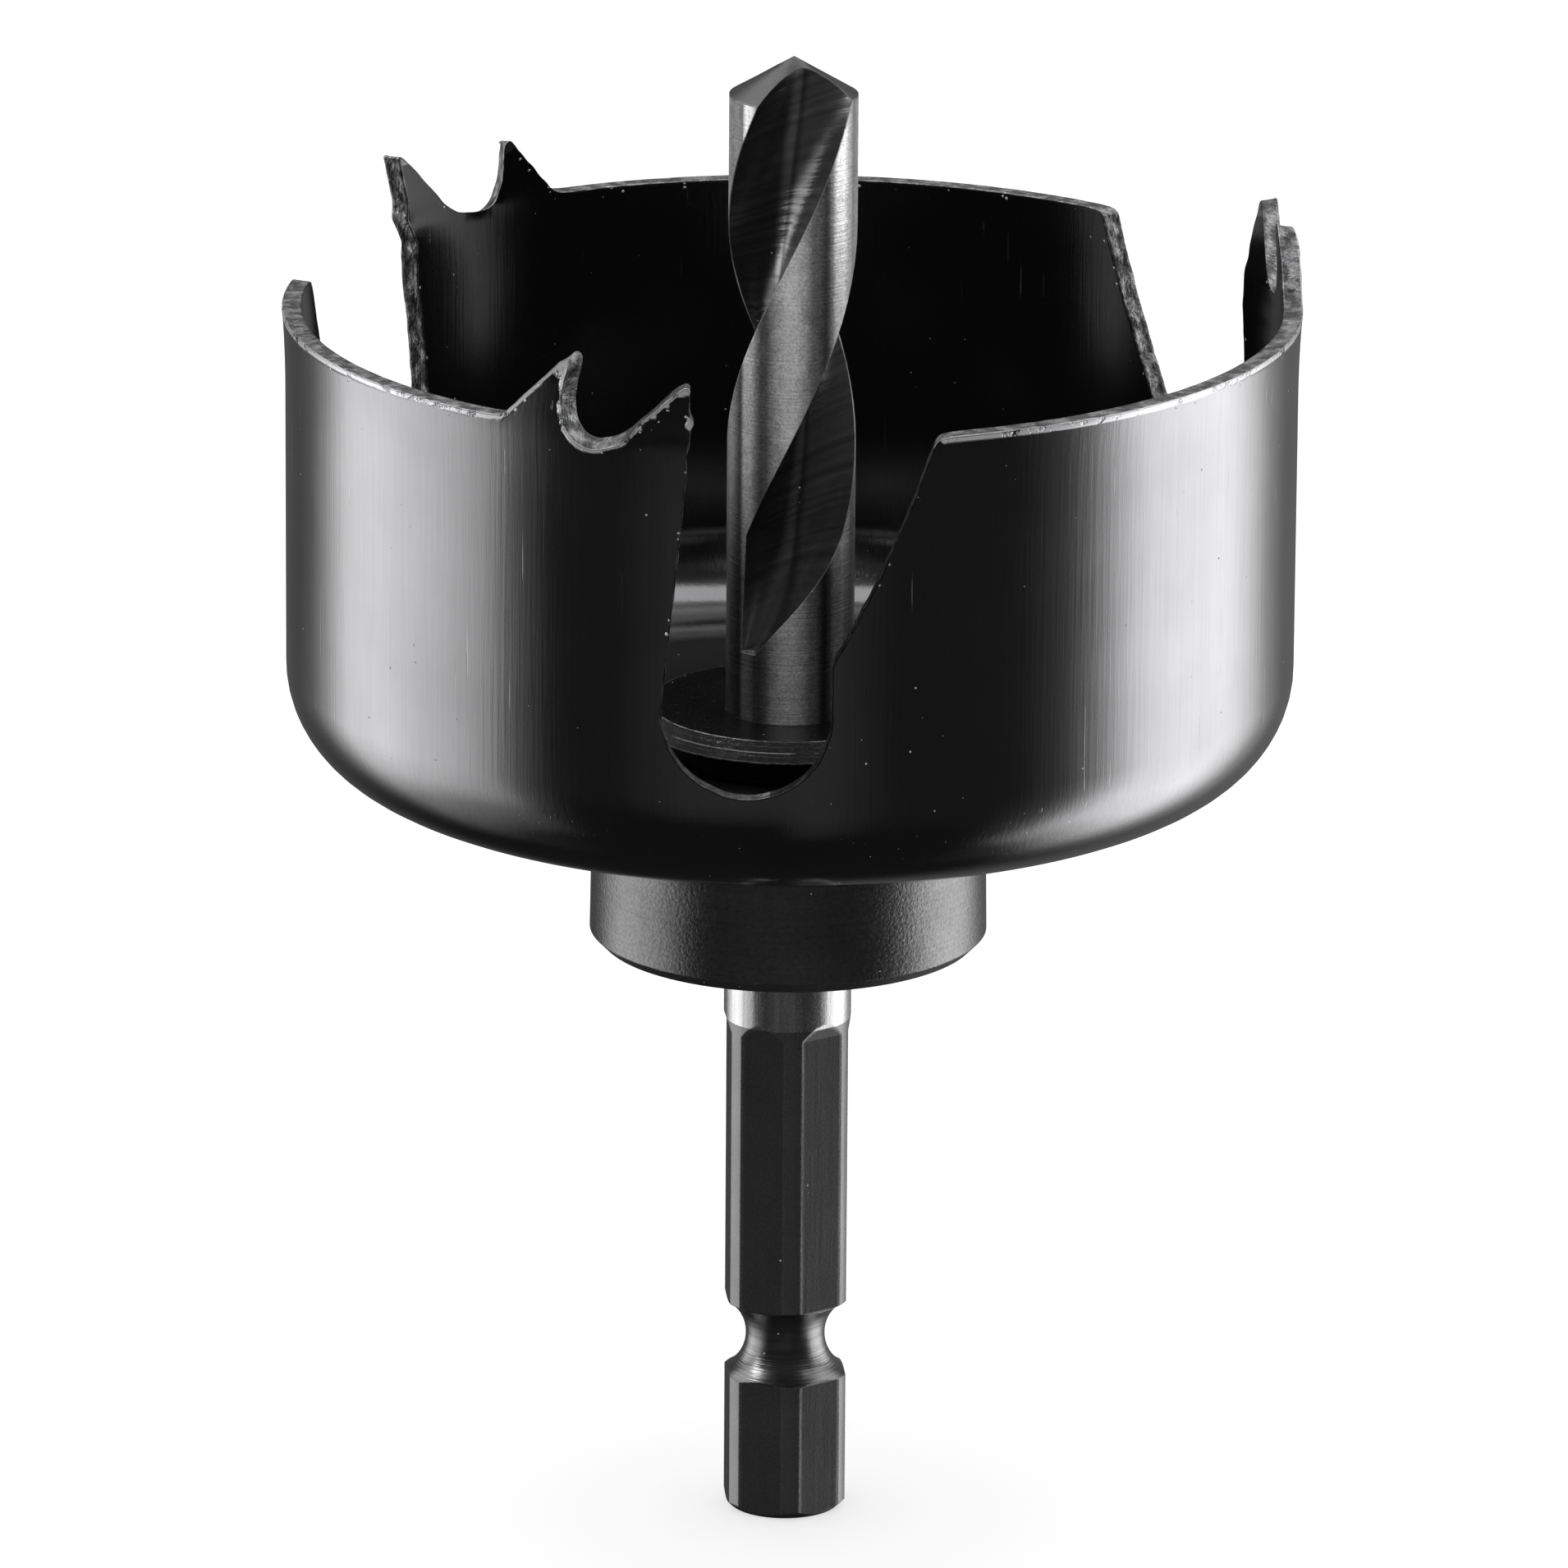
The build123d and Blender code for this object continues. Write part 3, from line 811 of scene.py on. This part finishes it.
def makeRodFinish():
    material, tree, shader = newFinish("rodSteel")
    shader.inputs["Specular IOR Level"].default_value = rod["specular"]
    position, x, y, z, radius = places(tree)
    rounded, apart = softEdge(tree, rod["edgeRadius"])

    # which part of the rod a point belongs to
    inDrill = above(tree, z, rod["drillFrom"])
    inHex = below(tree, z, rod["hexTop"])
    cutIn = between(tree, radius, *(rod["rodRadius"] - depth for depth in rod["cutDepths"]))
    slope = 1.0 / math.tan(math.radians(rod["pointAngle"] / 2))
    coneHeight = calc(tree, "MULTIPLY_ADD", radius, -slope, rod["tipHeight"])
    offCone = calc(tree, "ABSOLUTE", calc(tree, "SUBTRACT", z, coneHeight))
    onPoint = below(tree, offCone, rod["pointReach"])
    inFlute = times(tree, inDrill, cutIn, calc(tree, "SUBTRACT", 1.0, onPoint))
    onFlat = times(tree, inHex, cutIn)
    offGroove = calc(tree, "ABSOLUTE", calc(tree, "SUBTRACT", z, rod["grooveHeight"]))
    inGroove = below(tree, offGroove, rod["grooveReach"])
    onTip = times(tree, onPoint, inDrill)

    pepper = noise(tree, position, rod["pepper"])
    mottle = noise(tree, position, rod["mottle"])
    clouds = noise(tree, position, rod["clouds"])
    upright = streaked(tree, position, rod["upright"])
    around = turned(tree, radius, z, rod["around"])
    ridgePlane = vecCalc(tree, "DOT_PRODUCT", position, rod["ridgeDirection"], out=1)
    ridges = noise(tree, joined(tree, ridgePlane, 0.0, 0.0), rod["ridges"])

    turn = degreesRound(tree, x, y)
    # lands deep in the cup are painted darker as shade, more so at the sides
    side = between(tree, calc(tree, "ABSOLUTE", turn), *rod["sideFrom"])
    cupShade = blend(tree, side, rod["shadeMiddle"], rod["shadeSide"])
    # the lands' tone carries painted reflection bands round the rod
    landToneAndReflection = vary(tree, rod["landSteel"], mottle, rod["mottleShare"])
    landToneAndReflection = times(tree, landToneAndReflection, curveRamp(tree, turn, rod["landReflectionBands"]),
                     blend(tree, between(tree, z, *rod["shadeHeights"]), cupShade, 1.0))
    landToneAndReflection = vary(tree, landToneAndReflection, pepper, rod["landPepper"])
    # how far round from the middle of the nearer flute
    twist = 360.0 / rod["flutePitch"]
    fluteAt = calc(tree, "MULTIPLY_ADD", z, twist, rod["fluteTurn"] - rod["shoulder"] * twist)
    acrossFlute = calc(tree, "WRAP", calc(tree, "SUBTRACT", turn, fluteAt), 90.0, -90.0)
    # the flute's tone carries a painted lighter streak of reflection and a painted darker side of
    # shade
    fluteToneAndReflection = times(tree, curveRamp(tree, acrossFlute, rod["fluteReflectionBands"]), rod["fluteSteel"])
    fluteToneAndReflection = vary(tree, fluteToneAndReflection, ridges, rod["ridgeShare"])
    neckTone = vary(tree, rod["neckSteel"], upright, rod["uprightShare"])
    grooveTone = vary(tree, rod["grooveSteel"], around, rod["aroundShare"])
    tone = blend(tree, inDrill, neckTone, landToneAndReflection)
    for mask, value in ((inHex, rod["cornerSteel"]), (onFlat, rod["hexSteel"]),
                       (inGroove, grooveTone), (inFlute, fluteToneAndReflection), (onTip, rod["pointSteel"])):
        tone = blend(tree, mask, tone, value)
    tone = vary(tree, tone, pepper, rod["pepperShare"])
    tone = vary(tree, tone, clouds, rod["cloudShare"])
    patches = between(tree, noise(tree, position, rod["patches"]), *rod["patchRange"])
    worn = times(tree, between(tree, apart, *rod["wornRange"]),
                 blend(tree, inDrill, patches, 1.0))
    tone = blend(tree, times(tree, worn, rod["wornShare"]), tone, rod["wornSteel"])
    dust = specks(tree, position, rod["dust"])
    tone = blend(tree, dust, tone, rod["dustTone"])

    metal = blend(tree, inDrill, rod["neckMetal"], rod["landMetal"])
    hexMetal = blend(tree, cutIn, rod["cornerMetal"], rod["hexMetal"])
    for mask, value in ((inHex, hexMetal), (inGroove, rod["grooveMetal"]),
                       (largest(tree, inFlute, onTip), rod["fluteMetal"]), (dust, 0.0)):
        metal = blend(tree, mask, metal, value)
    rough = blend(tree, inDrill, rod["neckGloss"], rod["landGloss"])
    for mask, gloss in ((inHex, "hexGloss"), (inGroove, "grooveGloss"), (inFlute, "fluteGloss")):
        rough = blend(tree, mask, rough, rod[gloss])
    rough = drift(tree, rough, pepper, rod["pepperGloss"])
    rough = blend(tree, dust, rough, rod["dustGloss"])

    relief = times(tree, plus(tree, pepper, upright), rod["fineRelief"])
    landRelief = plus(tree, times(tree, around, rod["landRelief"]),
                      times(tree, pepper, rod["landPepperRelief"]))
    fluteRelief = plus(tree, times(tree, ridges, rod["ridgeRelief"]),
                       times(tree, pepper, rod["flutePepperRelief"]))
    relief = blend(tree, inDrill, relief, landRelief)
    relief = blend(tree, inGroove, relief, times(tree, around, rod["grooveRelief"]))
    relief = blend(tree, inFlute, relief, fluteRelief)
    plugIn(tree, shader, tone, metal, rough, relief, rounded)
    return material


def dress(name, material):
    nodes[name].data.materials.clear()
    nodes[name].data.materials.append(material)


makeCup()
dress("hub", makeTurnedFinish("dullBlackHub", boss))
dress("clamp_disc", makeTurnedFinish("turnedDisc", disc))
dress("pilot_arbor", makeRodFinish())
print("finishes done")


# floor, world and lamp in metres; the tent holds cards that only reflections see
studio = {
    "floorRadius": 2.5, "floorTone": 0.38, "floorGlow": 0.63, "floorSink": 0.00005,
    "floorGloss": 0.9, "floorSpecular": 0.1, "ambient": 0.85,
    "lampPower": 8.0, "lampSize": 1.6, "lampPlace": (0.0, 0.1, 0.9), "lampAim": (0, 0, 0),
}
tent = {
    "radius": 1.6, "centre": 0.04, "level": 3.0, "least": 0.006,
    # brightness round the tent: degrees from the camera, share of the brightest
    "round": ((-180, 0.035), (-150, 0.035), (-139, 0.07), (-130, 0.25), (-120, 0.66),
              (-106, 0.76), (-90, 0.56), (-78, 0.40), (-71, 0.27), (-66, 0.08), (-56, 0.010),
              (-40, 0.008), (-24, 0.022), (8, 0.024), (24, 0.008), (54, 0.010), (66, 0.04),
              (73, 0.15), (79, 0.42), (88, 0.80), (103, 0.95), (116, 1.0), (127, 0.62),
              (138, 0.20), (150, 0.07), (180, 0.035)),
    # and by height, the sine of the elevation, at the left and at the right
    "heightLeft": ((-1.0, 0.0), (-0.85, 0.02), (-0.66, 0.25), (-0.50, 0.7), (-0.30, 1.0),
                   (0.15, 1.0), (0.40, 0.15), (1.0, 0.05)),
    "heightRight": ((-1.0, 0.0), (-0.90, 0.02), (-0.72, 0.75), (-0.55, 0.97), (-0.30, 1.0),
                    (0.15, 1.0), (0.40, 0.15), (1.0, 0.05)),
    # nothing bright stands ahead of the tool above the horizon
    "aheadRange": (-0.5, -0.75), "aheadHeights": (-0.22, -0.06), "aheadDim": 0.9,
    # ceiling: heights where it starts, its level from front to back and at the very top
    "ceilingFrom": (0.42, 0.56), "ceilingRange": (-0.25, 0.1), "ceilingLevels": (0.015, 0.48),
    "topFrom": (0.75, 0.95), "topLevel": 0.08,
    # a narrow card overhead, caught by the rounded corner inside the cup
    "overFront": (-0.44, -0.37), "overBack": (0.0, -0.07), "overAbove": 0.7, "overLevel": 0.38,
    # a tall card high up at the left, caught by the fine turning marks of the drill
    "highCentre": -86.0, "highHalf": 11.0, "highLow": (0.40, 0.55), "highTop": (0.95, 0.85),
    "highLevel": 2.6,
}


# brightness of the tent by direction
def tentLevel(tree):
    direction = vecCalc(tree, "NORMALIZE", wire(tree, "ShaderNodeTexCoord").outputs["Object"])
    x, y, z = parted(tree, direction)
    turn = degreesRound(tree, x, y)
    tall = blend(tree, above(tree, x, 0.0), curveRamp(tree, z, tent["heightLeft"]),
                 curveRamp(tree, z, tent["heightRight"]))
    level = times(tree, curveRamp(tree, turn, tent["round"]), tall)
    ahead = times(tree, between(tree, y, *tent["aheadRange"]),
                  between(tree, z, *tent["aheadHeights"]))
    level = dimmed(tree, level, ahead, tent["aheadDim"])
    back = between(tree, y, *tent["ceilingRange"], *tent["ceilingLevels"])
    high = between(tree, z, *tent["topFrom"])
    ceiling = times(tree, between(tree, z, *tent["ceilingFrom"]),
                    blend(tree, high, back, tent["topLevel"]))
    over = times(tree, between(tree, y, *tent["overFront"]), tent["overLevel"],
                 between(tree, y, *tent["overBack"]), above(tree, z, tent["overAbove"]))
    aside = calc(tree, "ABSOLUTE", calc(tree, "SUBTRACT", turn, tent["highCentre"]))
    card = times(tree, between(tree, aside, tent["highHalf"], tent["highHalf"] * 0.5),
                 tent["highLevel"], between(tree, z, *tent["highLow"]),
                 between(tree, z, *tent["highTop"]))
    return largest(tree, level, ceiling, over, card, tent["least"])


def makeTent():
    bpy.ops.mesh.primitive_uv_sphere_add(segments=64, ring_count=32, radius=tent["radius"],
                                         location=(0, 0, tent["centre"]))
    cards = bpy.context.object
    cards.name = "reflectionCards"
    material = bpy.data.materials.new("reflectionCards")
    material.use_nodes = True
    tree = material.node_tree
    tree.nodes.remove(tree.nodes["Principled BSDF"])
    strength = times(tree, tentLevel(tree), tent["level"])
    glow = wire(tree, "ShaderNodeEmission", {"Color": grey(1.0), "Strength": strength})
    tree.links.new(glow.outputs[0], tree.nodes["Material Output"].inputs[0])
    cards.data.materials.append(material)
    cards.visible_camera = False
    cards.visible_diffuse = False
    cards.visible_transmission = False
    cards.visible_volume_scatter = False
    cards.visible_shadow = False


# 1 for rays that should meet the white background
def whiteForEye(tree):
    rays = wire(tree, "ShaderNodeLightPath").outputs
    return largest(tree, rays["Is Camera Ray"], rays["Is Glossy Ray"],
                   rays["Is Transmission Ray"])


def makeFloor():
    bpy.ops.mesh.primitive_circle_add(vertices=96, radius=studio["floorRadius"],
                                      fill_type="NGON", location=(0, 0, -studio["floorSink"]))
    floor = bpy.context.object
    floor.name = "floor"
    material, tree, shader = newFinish("paleFloor")
    shader.inputs["Base Color"].default_value = grey(studio["floorTone"])
    shader.inputs["Roughness"].default_value = studio["floorGloss"]
    shader.inputs["Specular IOR Level"].default_value = studio["floorSpecular"]
    shader.inputs["Emission Color"].default_value = grey(1.0)
    glow = times(tree, whiteForEye(tree), studio["floorGlow"])
    tree.links.new(glow, shader.inputs["Emission Strength"])
    floor.data.materials.append(material)
    floor.visible_glossy = False


def makeWorld():
    world = bpy.data.worlds.new("studio")
    bpy.context.scene.world = world
    world.use_nodes = True
    tree = world.node_tree
    background = tree.nodes["Background"]
    background.inputs[0].default_value = grey(1.0)
    strength = blend(tree, whiteForEye(tree), studio["ambient"], 1.0)
    tree.links.new(strength, background.inputs[1])


def makeLamp():
    data = bpy.data.lights.new("topLamp", "AREA")
    data.shape = "DISK"
    data.size = studio["lampSize"]
    data.energy = studio["lampPower"]
    lamp = bpy.data.objects.new("topLamp", data)
    bpy.context.scene.collection.objects.link(lamp)
    lamp.location = studio["lampPlace"]
    direction = Vector(studio["lampAim"]) - Vector(studio["lampPlace"])
    lamp.rotation_euler = direction.to_track_quat("-Z", "Y").to_euler()
    lamp.visible_glossy = False


makeTent()
makeFloor()
makeWorld()
makeLamp()
print("studio done")


# camera in metres and degrees
lens = {
    "elevation": 17.05, "roll": 0.4, "distance": 0.8, "aimHeight": 0.041, "aimSide": -0.00027,
    "focalPixels": 18060, "imagePixels": 1910, "sensor": 36.0, "nearest": 0.01,
}


def makeCamera():
    data = bpy.data.cameras.new("camera")
    data.sensor_width = lens["sensor"]
    data.lens = lens["focalPixels"] / lens["imagePixels"] * lens["sensor"]
    data.clip_start = lens["nearest"]
    camera = bpy.data.objects.new("camera", data)
    bpy.context.scene.collection.objects.link(camera)
    tilt = math.radians(lens["elevation"])
    backward = Vector((0, -math.cos(tilt), math.sin(tilt)))
    right = Vector((1, 0, 0))
    up = backward.cross(right)
    roll = math.radians(lens["roll"])
    cameraX = right * math.cos(roll) + up * math.sin(roll)
    cameraY = up * math.cos(roll) - right * math.sin(roll)
    place = Vector((lens["aimSide"], 0, lens["aimHeight"])) + backward * lens["distance"]
    axes = Matrix((cameraX, cameraY, backward)).transposed().to_4x4()
    camera.matrix_world = Matrix.Translation(place) @ axes
    bpy.context.scene.camera = camera


makeCamera()
bpy.context.scene.view_settings.view_transform = "Standard"

print("scene done")
